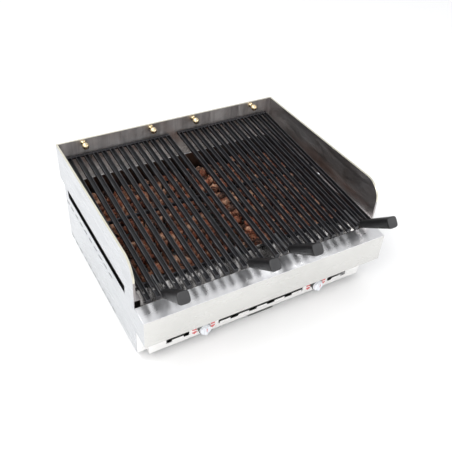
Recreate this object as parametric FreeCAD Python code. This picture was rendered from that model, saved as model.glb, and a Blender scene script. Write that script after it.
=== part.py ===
import FreeCAD, Part
import math
import os
import random

# A table-top gas charbroiler: a sheet-steel cabinet with a splash guard on three sides,
# two sloping grates of open-topped channel bars over beds of lava rock, two gas burners,
# a grease trough along the front and a drip tray on rails underneath.
#
# All parts are modelled in the cabinet frame: X to the right, Y to the back with the
# fascia's front face at Y = 0, Z up with the cabinet's underside at Z = 0. On export they
# are moved so that the origin is the centre of the footprint at the level of the feet.

# ---------------------------------------------------------------- driving dimensions (mm)
WIDTH = 800.0                 # over the side panels
SHEET = 1.5                   # cabinet sheet thickness
THIN_SHEET = 1.2              # trays and troughs
HALF = WIDTH / 2
INSIDE = HALF - SHEET         # inner face of a side panel

FASCIA_TOP = 184.0
FASCIA_BOTTOM = 89.0
BODY_FRONT = 63.0             # front edge of the lower cabinet, under the overhanging fascia
BODY_REAR = 638.0             # back of the lower cabinet
SIDE_TOP = 187.0              # top edge of the side panels
SPLASH_FRONT = 62.0
SPLASH_REAR = 680.0
SPLASH_BOTTOM = 207.0
SPLASH_TOP = 332.0
SPLASH_RADIUS = 60.0          # rounded front corner of the side splashes
RIM = 6.0                     # folded rim along the top of the splashes
SLOT_FRONT = 128.0            # ends of the long air slot under each side splash
SLOT_REAR = 604.0
SLOT_BOTTOM = 176.0

PANEL_FRONT = 45.0            # control panel, set back under the fascia
PANEL_HALF = 370.0
KNOB_X = 200.0
KNOB_Z = 25.0

RIM_BAND = 16.0               # flat front band of the apron
LIP_Y = 55.0
LIP_Z = 190.0

FIREBOX_HALF = 380.0
FIREBOX_FRONT = 128.0
RIDGE_Z = 191.0               # top of the firebox's front wall
FIREBOX_REAR = 636.0          # rear face of its rear wall
FIREBOX_BOTTOM = 60.0

GRATE_X = 196.0               # centre of each grate
BAR_COUNT = 13
BAR_PITCH = 28.7
BAR_WIDTH = 14.5
BAR_DEPTH = 11.0
BAR_WALL = 1.8
GRATE_SLOPE = 5.4             # degrees, front end low
GRATE_REAR_Y = 674.0
GRATE_REAR_Z = 284.1          # top of the bars at the rear end
GRATE_LENGTH = 641.0
PIVOT_RADIUS = 6.0            # rear rod, which the grate turns on; its top is level with the bars
CROSS_HEIGHT = 12.0
CROSS_SETBACK = 66.0          # front cross bar, from the front end of the grate
FOOT_OFFSET = 4 * BAR_PITCH   # the grate's front feet stand under two of its bars

HANDLE_OFFSET = 4.5 * BAR_PITCH   # each handle rod comes up through the gap between two bars
HANDLE_RISE = 38.1            # degrees above level
ROD_RADIUS = 4.0
ROD_BEND = 14.5               # where a rod bends upwards, from the front end of the grate
ROD_TAIL = 65.0               # from the bend back to the rod's rear end
ROD_FREE = 24.0               # from the bend to the grip
ROD_IN_GRIP = 40.0
GRIP_LENGTH = 139.0
GRIP_NARROW = 23.0
GRIP_WIDE = 33.5

BURNER_Z = 75.0
BURNER_RADIUS = 14.0
BURNER_WALL = 1.2
BURNER_LEG = 85.0             # half the spacing of the two legs
BURNER_FRONT = 170.0
BURNER_TURN = 520.0           # where the legs turn into the rear bend
MIXER_FRONT = 98.0

SUPPORT_TOP = 97.0            # top of the angle irons under the rock grids
ROD_LEVEL = 112.0             # centres of the rods that carry the lava rock
ROCK_LEVEL = 137.0
ROCK_COLUMNS = 8
ROCK_ROWS = 11

PIPE_Y = 94.0
PIPE_RADIUS = 8.0
ELBOW_RADIUS = 13.0
INLET_X = 345.0
INLET_RADIUS = 10.48          # G 1/2 male thread
INLET_END = 672.0

FOOT_HEIGHT = 25.0
FOOT_X = 372.0
FOOT_FRONT = 105.0
FOOT_REAR = 590.0

TRAY_HALF = 308.0
TRAY_FRONT = 56.0
TRAY_REAR = 592.0
TRAY_BOTTOM = -17.5
TRAY_TOP = -2.0

STUD_OFFSET = 117.0
STUD_Z = 319.0
STUD_BALL = 11.5
STUD_BASE = 9.0
STUD_SHANK = 5.0
STUD_REACH = 26.0             # from the backsplash to the ball's centre

UP = FreeCAD.Vector(0, 0, 1)
BACK = FreeCAD.Vector(0, 1, 0)
RIGHT = FreeCAD.Vector(1, 0, 0)
ORIGIN = FreeCAD.Vector(0, 0, 0)


# ---------------------------------------------------------------- shape helpers
def point(x, y, z):
    return FreeCAD.Vector(x, y, z)


def box(x0, x1, y0, y1, z0, z1):
    return Part.makeBox(x1 - x0, y1 - y0, z1 - z0, point(x0, y0, z0))


def round_bar(start, direction, radius, length):
    return Part.makeCylinder(radius, length, start, direction)


def tube(start, direction, radius, wall, length):
    outer = round_bar(start, direction, radius, length)
    return outer.cut(round_bar(start, direction, radius - wall, length))


def prism_x(outline, x0, x1):
    """Extrudes an outline of (y, z) points from x0 to x1."""
    corners = [point(x0, y, z) for y, z in outline]
    face = Part.Face(Part.makePolygon(corners + corners[:1]))
    return face.extrude(RIGHT * (x1 - x0))


def prism_z(outline, z0, z1):
    """Extrudes an outline of (x, y) points from z0 to z1."""
    corners = [point(x, y, z0) for x, y in outline]
    face = Part.Face(Part.makePolygon(corners + corners[:1]))
    return face.extrude(UP * (z1 - z0))


def folded(path, thickness):
    """Outline of a sheet folded along a path, with its thickness on the path's right."""
    normals = []
    for (a0, b0), (a1, b1) in zip(path, path[1:]):
        length = math.hypot(a1 - a0, b1 - b0)
        normals.append(((b1 - b0) / length, -(a1 - a0) / length))
    inner = []
    for index, (a, b) in enumerate(path):
        before = normals[max(index - 1, 0)]
        after = normals[min(index, len(normals) - 1)]
        scale = thickness / (1 + before[0] * after[0] + before[1] * after[1])
        inner.append((a + (before[0] + after[0]) * scale, b + (before[1] + after[1]) * scale))
    return path + inner[::-1]


def mirrored(shape):
    return shape.mirror(ORIGIN, RIGHT)


def joined(shapes):
    """Fuses shapes into one solid and merges faces that lie in one plane."""
    return shapes[0].fuse(shapes[1:]).removeSplitter()


def spread(count, pitch):
    """Positions of evenly spaced items, centred on zero."""
    return [(index - (count - 1) / 2) * pitch for index in range(count)]


# ---------------------------------------------------------------- cabinet
def side_panel():
    """Right side of the cabinet and of the fascia, with two rows of vent slots."""
    slot_count = 10
    slot_pitch = 42.0
    slot_length = 27.0
    slot_height = 6.0
    first_slot = 225.0
    outline = [
        (SHEET, FASCIA_BOTTOM), (BODY_FRONT, FASCIA_BOTTOM), (BODY_FRONT, 0), (BODY_REAR, 0),
        (BODY_REAR, SPLASH_BOTTOM), (SLOT_REAR, SPLASH_BOTTOM), (SLOT_REAR, SLOT_BOTTOM),
        (SLOT_FRONT, SLOT_BOTTOM), (SLOT_FRONT, SIDE_TOP), (SPLASH_FRONT, SIDE_TOP),
        (SPLASH_FRONT, FASCIA_TOP - SHEET), (SHEET, FASCIA_TOP - SHEET),
    ]
    panel = prism_x(outline, INSIDE, HALF)
    slots = []
    for row_z in (3.5, 145.5):
        for index in range(slot_count):
            y = first_slot + index * slot_pitch
            slots.append(box(INSIDE - 1, HALF + 1, y, y + slot_length, row_z, row_z + slot_height))
    return panel.cut(slots)


def splash_blank(x0, x1, back, down):
    """Side splash outline with its rounded front corner, shifted back and down."""
    centre_y = SPLASH_FRONT + SPLASH_RADIUS
    centre_z = SPLASH_TOP - SPLASH_RADIUS
    rear_end = SPLASH_REAR - SHEET
    blank = joined([
        box(x0, x1, centre_y, rear_end, SPLASH_BOTTOM, SPLASH_TOP),
        box(x0, x1, SPLASH_FRONT, centre_y, SPLASH_BOTTOM, centre_z),
        round_bar(point(x0, centre_y, centre_z), RIGHT, SPLASH_RADIUS, x1 - x0),
    ])
    blank.translate(point(0, back, -down))
    return blank


def side_splash():
    """Right splash guard: wall, folded rim, and the ledge that hides the firebox edge."""
    notch_middle = (FIREBOX_HALF + HALF) / 2 + 1
    notch_length = 12.0
    ledge_notches = []
    for y in (96.0, 330.0):
        ledge_notches.append(box(notch_middle - 3, notch_middle + 3, y, y + notch_length,
                                 SPLASH_BOTTOM - 1, SPLASH_BOTTOM + 3))
    wall = splash_blank(INSIDE, HALF, 0, 0)
    rim = splash_blank(HALF - RIM, HALF, 0, 0).cut(splash_blank(HALF - RIM - 1, HALF, SHEET, SHEET))
    rim = rim.cut(box(HALF - RIM - 1, HALF, SHEET, SPLASH_REAR, 0, SPLASH_BOTTOM))
    rim = rim.cut(box(HALF - RIM - 1, HALF, SPLASH_REAR - RIM - SHEET, SPLASH_REAR, 0, SPLASH_TOP - SHEET))
    skirt = box(INSIDE, HALF, SPLASH_FRONT, SLOT_FRONT, SIDE_TOP, SPLASH_BOTTOM)
    ledge = box(FIREBOX_HALF, INSIDE, SPLASH_FRONT, BODY_REAR, SPLASH_BOTTOM, SPLASH_BOTTOM + SHEET)
    return joined([wall, rim, skirt, ledge.cut(ledge_notches)])


def backsplash():
    """Rear splash with its rim, and the shelf that steps out over the lower cabinet."""
    path = [
        (SPLASH_REAR - RIM, SPLASH_TOP), (SPLASH_REAR, SPLASH_TOP),
        (SPLASH_REAR, SPLASH_BOTTOM), (BODY_REAR, SPLASH_BOTTOM),
    ]
    corner = box(HALF - RIM, HALF, SPLASH_REAR - RIM - 1, SPLASH_REAR - SHEET,
                 SPLASH_TOP - SHEET - 1, SPLASH_TOP + 1)
    wall = prism_x(folded(path, SHEET), -INSIDE, INSIDE).cut([corner, mirrored(corner)])
    ends = box(INSIDE, HALF, SPLASH_REAR - SHEET, SPLASH_REAR, SPLASH_BOTTOM, SPLASH_TOP)
    return joined([wall, ends, mirrored(ends)])


def rear_panel():
    louvre_rows = 4
    louvre_pitch = 16.0
    louvre_length = 120.0
    panel = box(-INSIDE, INSIDE, BODY_REAR - SHEET, BODY_REAR, 0, SPLASH_BOTTOM)
    cuts = [round_bar(point(INLET_X, BODY_REAR - 5, KNOB_Z), BACK, INLET_RADIUS + 0.5, 10)]
    for x in spread(4, 170.0):
        for row in range(louvre_rows):
            z = 110.0 + row * louvre_pitch
            half = louvre_length / 2
            cuts.append(box(x - half, x + half, BODY_REAR - 5, BODY_REAR + 5, z, z + 5))
    return panel.cut(cuts)


def base_pan():
    """Bottom of the cabinet, with the large opening that lets fat and crumbs fall through."""
    opening_half = 290.0
    opening_front, opening_rear = 112.0, 575.0
    pan = box(-INSIDE, INSIDE, BODY_FRONT + SHEET, BODY_REAR - SHEET, 0, SHEET)
    return pan.cut(box(-opening_half, opening_half, opening_front, opening_rear, -1, 5))


def control_panel():
    """Recessed lower front: a shallow box that stands forward of the cabinet front."""
    window_low = 14.0
    window_high = 40.0
    tab_length = 37.0
    tab_height = 7.0
    flange = BODY_FRONT
    path = [(-INSIDE, flange), (-PANEL_HALF, flange), (-PANEL_HALF, PANEL_FRONT),
            (PANEL_HALF, PANEL_FRONT), (PANEL_HALF, flange), (INSIDE, flange)]
    panel = prism_z(folded(path[::-1], SHEET), 0, FASCIA_BOTTOM)
    cuts = []
    for low, high in ((-318.0, -246.0), (-150.0, 150.0), (246.0, 318.0)):
        cuts.append(box(low, high, PANEL_FRONT - 1, PANEL_FRONT + 3, window_low, window_high))
    for x in (-KNOB_X, KNOB_X):
        cuts.append(round_bar(point(x, PANEL_FRONT - 5, KNOB_Z), BACK, 5.2, 10))
    tabs = []
    for x in (-282.0, -128.0, -64.0, 0.0, 64.0, 128.0, 282.0):
        half = tab_length / 2
        tabs.append(box(x - half, x + half, PANEL_FRONT, PANEL_FRONT + SHEET,
                        window_low, window_low + tab_height))
    return joined([panel.cut(cuts)] + tabs)


def front_fascia():
    """Overhanging front face with its bottom return."""
    path = [(0, FASCIA_TOP - SHEET), (0, FASCIA_BOTTOM), (PANEL_FRONT, FASCIA_BOTTOM)]
    face = prism_x(folded(path[::-1], SHEET), -INSIDE, INSIDE)
    ends = box(INSIDE, HALF, 0, SHEET, FASCIA_BOTTOM, FASCIA_TOP - SHEET)
    return joined([face, ends, mirrored(ends)])


def drip_apron():
    """Polished top of the front: flat band, shallow slope, and a lip turned down."""
    path = [(0, FASCIA_TOP), (RIM_BAND, FASCIA_TOP), (LIP_Y, LIP_Z), (LIP_Y, LIP_Z - 7)]
    return prism_x(folded(path, SHEET), -HALF, HALF)


def grease_trough():
    """Open gutter that catches the fat running off the ends of the bars."""
    half = 374.0
    front, rear = 58.5, 91.0
    floor, front_top, rear_top = 138.0, 178.0, 149.0
    path = [(front, front_top), (front, floor), (rear, floor), (rear, rear_top)]
    gutter = prism_x(folded(path[::-1], THIN_SHEET), -half, half)
    end = prism_x(path + [(front + 5, front_top)], half - THIN_SHEET, half)
    return joined([gutter, end, mirrored(end)])


# ---------------------------------------------------------------- firebox
def firebox_front():
    """Front wall of the firebox: its ridge carries the grates' feet, its flange sheds fat."""
    path = [(85, 157), (FIREBOX_FRONT, RIDGE_Z), (FIREBOX_FRONT, FIREBOX_BOTTOM)]
    wall = prism_x(folded(path, SHEET), -FIREBOX_HALF, FIREBOX_HALF)
    holes = []
    for x in (-KNOB_X, KNOB_X):
        holes.append(round_bar(point(x, 100, BURNER_Z), BACK, BURNER_RADIUS + 1.5, 40))
    return wall.cut(holes)


def firebox_side():
    return box(FIREBOX_HALF, FIREBOX_HALF + SHEET, BODY_FRONT + 3, FIREBOX_REAR,
               FIREBOX_BOTTOM, SPLASH_BOTTOM)


def firebox_rear():
    return box(-FIREBOX_HALF, FIREBOX_HALF, FIREBOX_REAR - SHEET, FIREBOX_REAR,
               FIREBOX_BOTTOM, SPLASH_BOTTOM)


def grid_supports():
    """Two angle irons along the firebox's front and rear walls, under the rock grids."""
    leg = 20.0
    front_face = FIREBOX_FRONT + 2
    rear_face = FIREBOX_REAR - 2
    front = [(front_face, SUPPORT_TOP - 6.5), (front_face, SUPPORT_TOP), (front_face + leg, SUPPORT_TOP)]
    rear = [(rear_face - leg, SUPPORT_TOP), (rear_face, SUPPORT_TOP), (rear_face, SUPPORT_TOP - leg)]
    reach = FIREBOX_HALF - 1
    return [prism_x(folded(path, 2.0), -reach, reach) for path in (front, rear)]


def lava_grid():
    """Right rock grid: three bearers and a row of rods across them."""
    low, high = 6.0, 372.0
    front, rear = 134.0, 630.0
    rod_count = 21
    rod_pitch = 24.0
    rod_radius = 3.0
    pieces = []
    for x in (low + 24, (low + high) / 2, high - 24):
        pieces.append(box(x - 2, x + 2, front, rear, SUPPORT_TOP, ROD_LEVEL - rod_radius))
    for index in range(rod_count):
        y = front + 8 + index * rod_pitch
        pieces.append(round_bar(point(low, y, ROD_LEVEL), RIGHT, rod_radius, high - low))
    return pieces


def lava_rock(size, turn):
    """One lump of lava rock: a block with broad chamfers, turned at random."""
    length, depth, height = size
    lump = box(-length / 2, length / 2, -depth / 2, depth / 2, -height / 2, height / 2)
    lump = lump.makeChamfer(min(size) * 0.26, lump.Edges)
    for axis, angle in zip((RIGHT, BACK, UP), turn):
        lump.rotate(ORIGIN, axis, angle)
    return lump


def lava_rocks(side):
    """A bed of separate rocks, one layer deep, lying on one rock grid."""
    dice = random.Random(7 + side)
    low_x, high_x = 9.0, 371.0
    low_y, high_y = 134.0, 629.0
    step_x = (high_x - low_x) / ROCK_COLUMNS
    step_y = (high_y - low_y) / ROCK_ROWS
    rocks = []
    for column in range(ROCK_COLUMNS):
        for row in range(ROCK_ROWS):
            size = [dice.uniform(27, 31), dice.uniform(26, 30), dice.uniform(23, 28)]
            turn = [dice.uniform(0, 180) for _ in range(3)]
            rock = lava_rock(size, turn)
            x = low_x + (column + 0.5) * step_x
            y = low_y + (row + 0.5) * step_y
            rock.translate(point(side * x, y, ROCK_LEVEL + dice.uniform(-0.5, 2)))
            rocks.append(rock)
    return rocks


# ---------------------------------------------------------------- gas train
def swept_round(path_edges, start, direction, radius):
    profile = Part.Wire(Part.makeCircle(radius, start, direction))
    return Part.Wire(path_edges).makePipeShell([profile], True, False)


def burner():
    """Right burner: a mixer tube that feeds a U-shaped tube with ports along its top."""
    left = KNOB_X - BURNER_LEG
    right = KNOB_X + BURNER_LEG
    port_pitch = 25.0

    def body(radius, front):
        start = point(left, front, BURNER_Z)
        bend = Part.Arc(point(left, BURNER_TURN, BURNER_Z),
                        point(KNOB_X, BURNER_TURN + BURNER_LEG, BURNER_Z),
                        point(right, BURNER_TURN, BURNER_Z))
        edges = [
            Part.LineSegment(start, point(left, BURNER_TURN, BURNER_Z)).toShape(),
            bend.toShape(),
            Part.LineSegment(point(right, BURNER_TURN, BURNER_Z), point(right, front, BURNER_Z)).toShape(),
        ]
        loop = swept_round(edges, start, BACK, radius)
        mixer_length = BURNER_TURN + BURNER_LEG - MIXER_FRONT - 5
        mixer = round_bar(point(KNOB_X, MIXER_FRONT + 5, BURNER_Z), BACK, radius, mixer_length)
        bell = Part.makeCone(radius + 5, radius, 18, point(KNOB_X, MIXER_FRONT, BURNER_Z), BACK)
        return loop.fuse([mixer, bell])

    bore = BURNER_RADIUS - BURNER_WALL
    shell = body(BURNER_RADIUS, BURNER_FRONT).cut(body(bore, BURNER_FRONT + BURNER_WALL))
    shell = shell.cut(round_bar(point(KNOB_X, MIXER_FRONT - 1, BURNER_Z), BACK, bore, 20))
    ports = []
    for x in (left, right):
        for index in range(14):
            y = BURNER_FRONT + 15 + index * port_pitch
            ports.append(round_bar(point(x, y, BURNER_Z), UP, 1.6, 30))
    return shell.cut(ports)


def burner_supports():
    reach = FIREBOX_HALF - 2
    low = BURNER_Z - BURNER_RADIUS - 3
    return [box(-reach, reach, y, y + 20, low, low + 3) for y in (200, 500)]


def gas_manifold():
    """Tube that feeds both valves, with its elbow towards the back."""
    start = point(-KNOB_X - 25, PIPE_Y, KNOB_Z)
    run = tube(start, RIGHT, PIPE_RADIUS, 2.0, INLET_X - 12 + KNOB_X + 25)
    elbow = Part.makeSphere(ELBOW_RADIUS, point(INLET_X, PIPE_Y, KNOB_Z))
    cap = round_bar(start - RIGHT * 4, RIGHT, PIPE_RADIUS + 2, 4)
    return [run.cut(elbow), cap, elbow]


def supply_pipe():
    start = PIPE_Y + ELBOW_RADIUS
    end = BODY_REAR - SHEET - 4
    return tube(point(INLET_X, start, KNOB_Z), BACK, PIPE_RADIUS, 2.0, end - start)


def gas_inlet():
    """Male threaded stub that passes through the rear panel, with its hexagon nut."""
    bore = PIPE_RADIUS - 2
    stub_start = BODY_REAR - SHEET - 4
    stub = tube(point(INLET_X, stub_start, KNOB_Z), BACK, INLET_RADIUS, INLET_RADIUS - bore,
                INLET_END - stub_start)
    nut = hexagon(INLET_X, KNOB_Z, 15.0, BODY_REAR, 7.0)
    return stub.fuse(nut.cut(round_bar(point(INLET_X, BODY_REAR - 1, KNOB_Z), BACK, bore, 10)))


def hexagon(x, z, radius, y, thickness):
    """A hexagon nut or flange whose axis is along Y."""
    corners = []
    for index in range(7):
        angle = math.radians(60 * index)
        corners.append(point(x + radius * math.cos(angle), y, z + radius * math.sin(angle)))
    return Part.Face(Part.makePolygon(corners)).extrude(BACK * thickness)


def valve():
    """Right gas valve: barrel, nose with the stem's bore, and riser to the jet."""
    def along(y, radius, length, z=KNOB_Z):
        return round_bar(point(KNOB_X, y, z), BACK, radius, length)

    riser_y = 74.0
    pieces = [
        along(60, 12, 22), along(56, 9, 4), along(82, 6, PIPE_Y - PIPE_RADIUS - 82),
        round_bar(point(KNOB_X, riser_y, KNOB_Z), UP, 6.0, BURNER_Z - KNOB_Z),
        along(riser_y - 7, 8, 14, BURNER_Z),
    ]
    return joined(pieces).cut(along(55, 4.3, 18))


def jet():
    """Right gas jet, screwed into the valve's riser and aimed into the mixer."""
    body = hexagon(KNOB_X, BURNER_Z, 6.5, 81, 8)
    nose = Part.makeCone(4.5, 2.5, 7, point(KNOB_X, 89, BURNER_Z), BACK)
    return joined([body, nose]).cut(round_bar(point(KNOB_X, 80, BURNER_Z), BACK, 0.9, 20))


def dial_plate():
    """Oblong scale plate behind the right knob."""
    half_length = 42.0
    radius = 17.0
    front = PANEL_FRONT - 0.8
    straight = half_length - radius
    plate = joined([
        box(KNOB_X - straight, KNOB_X + straight, front, PANEL_FRONT, KNOB_Z - radius, KNOB_Z + radius),
        round_bar(point(KNOB_X - straight, front, KNOB_Z), BACK, radius, 0.8),
        round_bar(point(KNOB_X + straight, front, KNOB_Z), BACK, radius, 0.8),
    ])
    return plate.cut(round_bar(point(KNOB_X, front - 1, KNOB_Z), BACK, 5.2, 3))


def stem_collar():
    return tube(point(KNOB_X, 49, KNOB_Z), BACK, 8.0, 3.7, 2.0)


def valve_stem(play=0.0):
    """Right valve stem, with a flat for the knob; the knob's bore is made with some play."""
    stem = round_bar(point(KNOB_X, 28 - play, KNOB_Z), BACK, 4.0 + play, 40)
    return stem.cut(box(KNOB_X - 5, KNOB_X + 5, 27, 40, KNOB_Z + 2.5 + play, KNOB_Z + 5))


def knob():
    """Right control knob: skirt, round body and a raised finger bar."""
    rear = PANEL_FRONT - 4.5
    skirt = Part.makeCone(20, 19, 4, point(KNOB_X, rear, KNOB_Z), BACK * -1)
    body = Part.makeCone(17.5, 16, 8, point(KNOB_X, rear - 4, KNOB_Z), BACK * -1)
    bar = box(KNOB_X - 4.5, KNOB_X + 4.5, rear - 18, rear - 4, KNOB_Z - 15.5, KNOB_Z + 15.5)
    bar = bar.makeChamfer(1.5, [edge for edge in bar.Edges if edge.BoundBox.YMax < rear - 17])
    return joined([skirt, body, bar]).cut(valve_stem(0.05))


# ---------------------------------------------------------------- grates
def on_grate(shape, side):
    """Places a shape from the grate's own frame: origin at the rear top edge, bars along -Y."""
    shape = shape.copy()
    shape.rotate(ORIGIN, RIGHT, GRATE_SLOPE)
    shape.translate(point(side * GRATE_X, GRATE_REAR_Y, GRATE_REAR_Z))
    return shape


def pivot_axis():
    """(y, z) of the rear rod that a grate turns on."""
    slope = math.radians(GRATE_SLOPE)
    y = GRATE_REAR_Y - PIVOT_RADIUS * math.cos(slope) + PIVOT_RADIUS * math.sin(slope)
    z = GRATE_REAR_Z - PIVOT_RADIUS * math.sin(slope) - PIVOT_RADIUS * math.cos(slope)
    return y, z


def grate_bars(side):
    """Channel bars that carry the fat to a hole in the floor of each, over the trough."""
    half = BAR_WIDTH / 2
    rear = -2 * PIVOT_RADIUS
    hole_front = -GRATE_LENGTH + 32
    hole_length = 16.0
    bars = []
    for x in spread(BAR_COUNT, BAR_PITCH):
        bar = box(x - half, x + half, -GRATE_LENGTH, rear, -BAR_DEPTH, 0)
        groove = box(x - half + BAR_WALL, x + half - BAR_WALL, -GRATE_LENGTH + BAR_WALL,
                     rear - BAR_WALL, -BAR_DEPTH + BAR_WALL, 1)
        hole = box(x - 3, x + 3, hole_front, hole_front + hole_length, -BAR_DEPTH - 1, 0)
        bars.append(on_grate(bar.cut([groove, hole]), side))
    return bars


def grate_cross_bars(side):
    """Rear rod, and two flat bars under the channels."""
    half = (BAR_COUNT - 1) / 2 * BAR_PITCH + BAR_WIDTH / 2
    low = -BAR_DEPTH - CROSS_HEIGHT
    pieces = [round_bar(point(-half, -PIVOT_RADIUS, -PIVOT_RADIUS), RIGHT, PIVOT_RADIUS, 2 * half)]
    for y in (-GRATE_LENGTH / 2, -GRATE_LENGTH + CROSS_SETBACK):
        pieces.append(box(-half, half, y - 2.5, y + 2.5, low, -BAR_DEPTH))
    return [on_grate(piece, side) for piece in pieces]


def under_grate(y, depth):
    """(y, z) in the cabinet frame of a point at a depth below the grate's top at y."""
    slope = math.radians(GRATE_SLOPE)
    return y, GRATE_REAR_Z - (GRATE_REAR_Y - y) * math.tan(slope) - depth / math.cos(slope)


def grate_feet(side):
    """Two plates under the bars that stand on the ridge of the firebox front."""
    sole = RIDGE_Z + 0.3
    front, rear = FIREBOX_FRONT - 10, FIREBOX_FRONT + 6
    outline = [under_grate(rear, BAR_DEPTH), (rear, sole), (front, sole),
               under_grate(front - 8, BAR_DEPTH)]
    feet = []
    for offset in (-FOOT_OFFSET, FOOT_OFFSET):
        x = side * GRATE_X + offset
        feet.append(prism_x(outline, x - 2, x + 2))
    return feet


def handle_direction():
    rise = math.radians(HANDLE_RISE)
    return point(0, -math.cos(rise), math.sin(rise))


def handle_bend(x):
    """Point on a handle rod's centre line where it leaves the grate and turns upwards."""
    slope = math.radians(GRATE_SLOPE)
    along = -GRATE_LENGTH + ROD_BEND
    depth = BAR_DEPTH - ROD_RADIUS
    return point(x, GRATE_REAR_Y + along * math.cos(slope) + depth * math.sin(slope),
                 GRATE_REAR_Z + along * math.sin(slope) - depth * math.cos(slope))


def handle_rod(x):
    """Steel rod that lies on the front cross bar between two bars and bends up to the grip."""
    slope = math.radians(GRATE_SLOPE)
    bend = handle_bend(x)
    direction = handle_direction()
    tail = round_bar(bend, point(0, math.cos(slope), math.sin(slope)), ROD_RADIUS, ROD_TAIL)
    arm = round_bar(bend, direction, ROD_RADIUS, ROD_FREE + ROD_IN_GRIP)
    collar = round_bar(bend + direction * (ROD_FREE - 4), direction, 8.0, 4.0)
    return joined([tail, Part.makeSphere(ROD_RADIUS, bend), arm, collar])


def rounded_square(size, height):
    """Closed wire: a square with rounded corners, at a height above the XY plane."""
    half = size / 2
    radius = size * 0.27
    straight = half - radius
    edges = []
    for index in range(4):
        turn = math.radians(90 * index)

        def spun(x, y):
            return point(x * math.cos(turn) - y * math.sin(turn),
                         x * math.sin(turn) + y * math.cos(turn), height)

        bulge = straight + radius * math.sqrt(0.5)
        edges.append(Part.LineSegment(spun(half, -straight), spun(half, straight)).toShape())
        edges.append(Part.Arc(spun(half, straight), spun(bulge, bulge), spun(straight, half)).toShape())
    return Part.Wire(edges)


def grip(x):
    """Heat-proof grip that widens towards its free end."""
    sections = [(GRIP_NARROW - 4, 0), (GRIP_NARROW, 3), (GRIP_WIDE, GRIP_LENGTH - 5),
                (GRIP_WIDE - 6, GRIP_LENGTH)]
    wires = [rounded_square(size, height) for size, height in sections]
    shape = Part.makeLoft(wires, True, True)
    shape = shape.cut(round_bar(ORIGIN - UP, UP, ROD_RADIUS + 0.05, ROD_IN_GRIP + 1.5))
    shape.rotate(ORIGIN, RIGHT, 90 - HANDLE_RISE)
    shape.translate(handle_bend(x) + handle_direction() * ROD_FREE)
    return shape


def grate_saddles():
    """Hooked brackets on the backsplash that hold the grates' rear rods from below."""
    axis_y, axis_z = pivot_axis()
    half_thickness = 3.0
    cup_radius = 9.0
    arm_top = axis_z - cup_radius
    saddles = []
    for side in (-1, 1):
        for offset in (-3.5 * BAR_PITCH, 3.5 * BAR_PITCH):
            x = side * GRATE_X + offset
            low, high = x - half_thickness, x + half_thickness
            cup = round_bar(point(low, axis_y, axis_z), RIGHT, cup_radius, 2 * half_thickness)
            arm = box(low, high, axis_y - 3, SPLASH_REAR - SHEET, arm_top - 14, arm_top + 3)
            bore = round_bar(point(low - 1, axis_y, axis_z), RIGHT, PIVOT_RADIUS + 0.3, 10)
            mouth = box(low - 1, high + 1, axis_y - 20, axis_y + 20, axis_z, axis_z + 20)
            saddles.append(joined([cup, arm]).cut([bore, mouth]))
    return saddles


def brass_studs():
    """Ball-ended pins on the backsplash, which stop a raised grate."""
    forward = BACK * -1
    studs = []
    for side in (-1, 1):
        for offset in (-STUD_OFFSET, STUD_OFFSET):
            base = point(side * GRATE_X + offset, SPLASH_REAR - SHEET, STUD_Z)
            studs.append(joined([
                round_bar(base, forward, STUD_BASE, 6.0),
                round_bar(base, forward, STUD_SHANK, STUD_REACH - STUD_SHANK),
                Part.makeSphere(STUD_BALL, base + forward * STUD_REACH),
            ]))
    return studs


# ---------------------------------------------------------------- tray, rails, feet, screws
def drip_tray():
    """Shallow tray that slides forward on the rails, with a pull tab."""
    outer = box(-TRAY_HALF, TRAY_HALF, TRAY_FRONT, TRAY_REAR, TRAY_BOTTOM, TRAY_TOP)
    inner = box(-TRAY_HALF + THIN_SHEET, TRAY_HALF - THIN_SHEET, TRAY_FRONT + THIN_SHEET,
                TRAY_REAR - THIN_SHEET, TRAY_BOTTOM + THIN_SHEET, TRAY_TOP + 1)
    tab = box(-45, 45, TRAY_FRONT - 8, TRAY_FRONT, TRAY_BOTTOM + 5, TRAY_BOTTOM + 6.5)
    return joined([outer.cut(inner), tab])


def tray_rails():
    """Two angle rails under the base; the tray rides on their inward flanges."""
    web = TRAY_HALF + 2
    front, rear = 70.0, 625.0
    flange_top = TRAY_BOTTOM - 0.5
    flange_bottom = flange_top - SHEET
    right = joined([
        box(web, web + SHEET, front, rear, flange_bottom, 0),
        box(web - 12, web, front, rear, flange_bottom, flange_top),
        box(web + SHEET, web + 14, front, rear, -SHEET, 0),
    ])
    return [right, mirrored(right)]


def foot(x, y):
    """Round foot with a wider sole."""
    shank = round_bar(point(x, y, -FOOT_HEIGHT + 8), UP, 11.0, FOOT_HEIGHT - 8)
    sole = Part.makeCone(15.0, 13.0, 8.0, point(x, y, -FOOT_HEIGHT), UP)
    return joined([sole, shank])


def case_screws():
    """Pan-head screws of the rear panel and of the base."""
    screws = []
    for x in (-385.0, -130.0, 130.0, 385.0):
        for z in (12.0, 195.0):
            screws.append(round_bar(point(x, BODY_REAR, z), BACK, 4.0, 2.2))
    for x in (-385.0, 385.0):
        for y in (75.0, 320.0, 628.0):
            screws.append(round_bar(point(x, y, 0), UP * -1, 4.0, 2.2))
    return screws


# ---------------------------------------------------------------- the assembly
def both_sides(parts, name, shape):
    """Adds a right-hand part and its mirror image."""
    pieces = shape if isinstance(shape, list) else [shape]
    parts[name + "_right"] = pieces
    parts[name + "_left"] = [mirrored(piece) for piece in pieces]


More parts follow.
